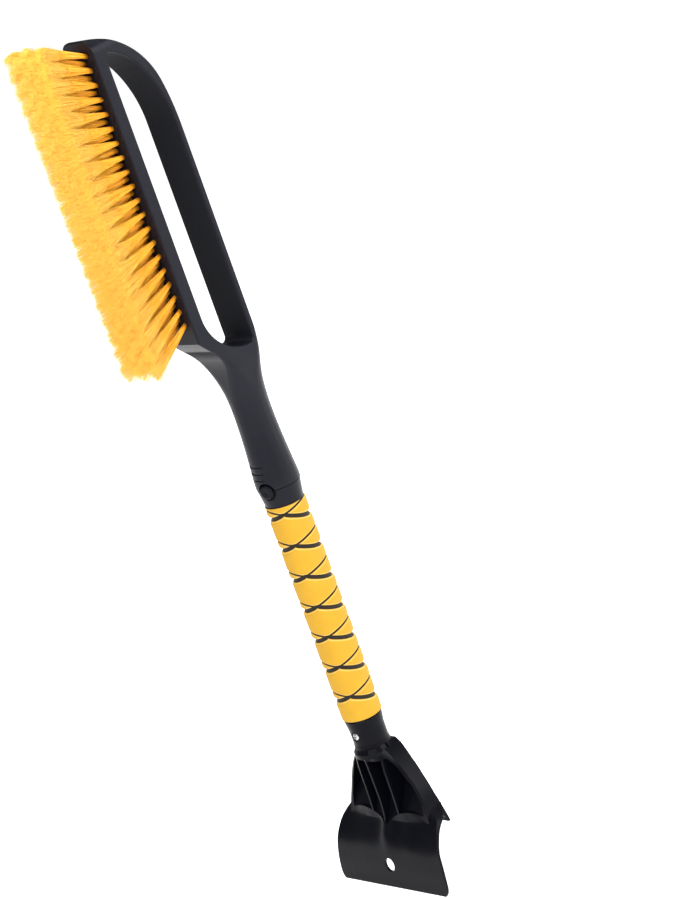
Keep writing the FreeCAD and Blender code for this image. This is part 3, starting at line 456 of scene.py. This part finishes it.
def bristle_piece(name, node, picks, rng):
    verts, quads, tris, along, tone = [], [], [], [], []
    base = 0
    for root, d, k, at_end, count in picks:
        side = np.cross(d, (0.0, 0.0, 1.0))
        side /= np.linalg.norm(side)
        upv = np.cross(side, d)
        for line, thick, steps, shade in tuft_lines(rng, root, d, count, k, at_end):
            n, rings = thick.shape
            turn = rng.random(n)[:, None] * 2 * math.pi
            pts = []
            for j in range(3):
                aa = turn + j * 2 * math.pi / 3
                pts.append(line + (thick * np.cos(aa))[..., None] * side + (thick * np.sin(aa))[..., None] * upv)
            p = np.stack(pts, 2)                         # n, rings, 3, xyz
            verts.append(p.reshape(-1, 3))
            along.append(np.broadcast_to(steps[None, :, None], (n, rings, 3)).ravel())
            tone.append(np.broadcast_to(shade[:, None, None], (n, rings, 3)).ravel())
            idx = base + np.arange(n * rings * 3).reshape(n, rings, 3)
            nx = np.roll(idx, -1, 2)
            quads.append(np.stack([idx[:, :-1], nx[:, :-1], nx[:, 1:], idx[:, 1:]], -1).reshape(-1, 4))
            tris.append(idx[:, 0, ::-1])
            tris.append(idx[:, -1])
            base += n * rings * 3
    o = build(name, np.concatenate(verts) * MM, [np.concatenate(quads), np.concatenate(tris)],
              {"along": np.concatenate(along), "tone": np.concatenate(tone)})
    o.data.materials.append(bristle_yellow)
    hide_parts(node)
    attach(o, "brush_head")
    return o


def all_bristles():
    rng = np.random.default_rng(4711)
    ends = []
    for row, (k, shift) in enumerate(ROWS, start=1):
        count = 20 if shift == 0.0 else 19
        picks = []
        for i in range(count):
            z = FIRST - (i + shift) * PITCH
            t = (z - CENTRE) / SPAN
            d = np.array([-1.0, math.tan(math.radians(5.7 * k)), math.tan(math.radians(22.0 * t))])
            d /= np.linalg.norm(d)
            at_end = i in (0, count - 1)
            item = (np.array([FACE_X, k * ROW_PITCH, z]), d, k, at_end, 130)
            (ends if at_end else picks).append(item)
        bristle_piece("bristles_row_%d" % row, "bristle_row_%d" % row, picks, rng)
    bristle_piece("bristles_ends", "bristle_end_tufts", ends, rng)


all_bristles()


# ---------------------------------------------------------------- floor, lights, camera
low = cad_box[0][2]
me = bpy.data.meshes.new("floor")
me.from_pydata([(x, y, low - 0.0006) for x, y in ((-50, -50), (50, -50), (50, 50), (-50, 50))], [], [(0, 1, 2, 3)])
floor = bpy.data.objects.new("floor", me)
bpy.context.scene.collection.objects.link(floor)
m, nt, b, vec = material("pale_floor")
b.inputs["Base Color"].default_value = (0.92, 0.92, 0.92, 1.0)
b.inputs["Roughness"].default_value = 0.9
b.inputs["Specular IOR Level"].default_value = 0.1
b.inputs["Emission Color"].default_value = (1.0, 1.0, 1.0, 1.0)
b.inputs["Emission Strength"].default_value = 0.7
me.materials.append(m)

world = bpy.data.worlds.new("studio")
bpy.context.scene.world = world
world.use_nodes = True
world.node_tree.nodes["Background"].inputs[0].default_value = (1.0, 1.0, 1.0, 1.0)
world.node_tree.nodes["Background"].inputs[1].default_value = 0.32

turn, tip, roll = math.radians(37.0), math.radians(16.5), math.radians(19.58616318)
fwd = Vector((math.cos(tip) * math.sin(turn), math.cos(tip) * math.cos(turn), -math.sin(tip)))
right0 = Vector((math.cos(turn), -math.sin(turn), 0.0))
up0 = Vector((math.sin(turn) * math.sin(tip), math.cos(turn) * math.sin(tip), math.cos(tip)))
right = right0 * math.cos(roll) - up0 * math.sin(roll)
up = right0 * math.sin(roll) + up0 * math.cos(roll)
target = (Vector((41.34178704, -31.15327107, 113.54112309)) - 0.37 * right) * MM
camera = bpy.data.cameras.new("camera")
camera.sensor_width = 36.0
camera.sensor_fit = "AUTO"
camera.lens = 2900.0 / 898.0 * 36.0
camera.clip_start = 0.05
camera.clip_end = 60.0
cam = bpy.data.objects.new("camera", camera)
bpy.context.scene.collection.objects.link(cam)
place = Matrix.Identity(4)
for i in range(3):
    place[i][0], place[i][1], place[i][2] = right[i], up[i], -fwd[i]
    place[i][3] = (target - 2.16 * fwd)[i]
cam.matrix_world = place
bpy.context.scene.camera = cam


def softbox(name, at, aim, size, watts, tint=(1.0, 1.0, 1.0), tall=None):
    light = bpy.data.lights.new(name, "AREA")
    light.shape = "RECTANGLE"
    light.size = size
    light.size_y = tall or size
    light.energy = watts
    light.color = tint
    o = bpy.data.objects.new(name, light)
    bpy.context.scene.collection.objects.link(o)
    o.location = at
    o.rotation_euler = (Vector(aim) - Vector(at)).to_track_quat("-Z", "Y").to_euler()
    return o


middle = Vector((0.0, 0.0, 0.13))
softbox("key", middle - right0 * 0.8 - fwd * 1.9 + Vector((0, 0, 1.2)), middle, 1.7, 84.0)
softbox("fill", middle + right0 * 1.9 - fwd * 1.2 + Vector((0, 0, 0.5)), middle, 1.4, 42.0)
softbox("rim", middle + right0 * 1.5 + Vector((fwd.x, fwd.y, 0)) * 1.3 + Vector((0, 0, 0.7)), middle, 0.7, 22.0, tall=1.6)
softbox("strip_right", middle + Vector((1.58, -1.24, 0.25)), middle + Vector((0, 0, 0.05)), 0.12, 7.0, tall=2.0)
softbox("top", middle + Vector((0, 0, 2.4)), middle, 2.4, 30.0)

bpy.context.scene.view_settings.view_transform = "Standard"
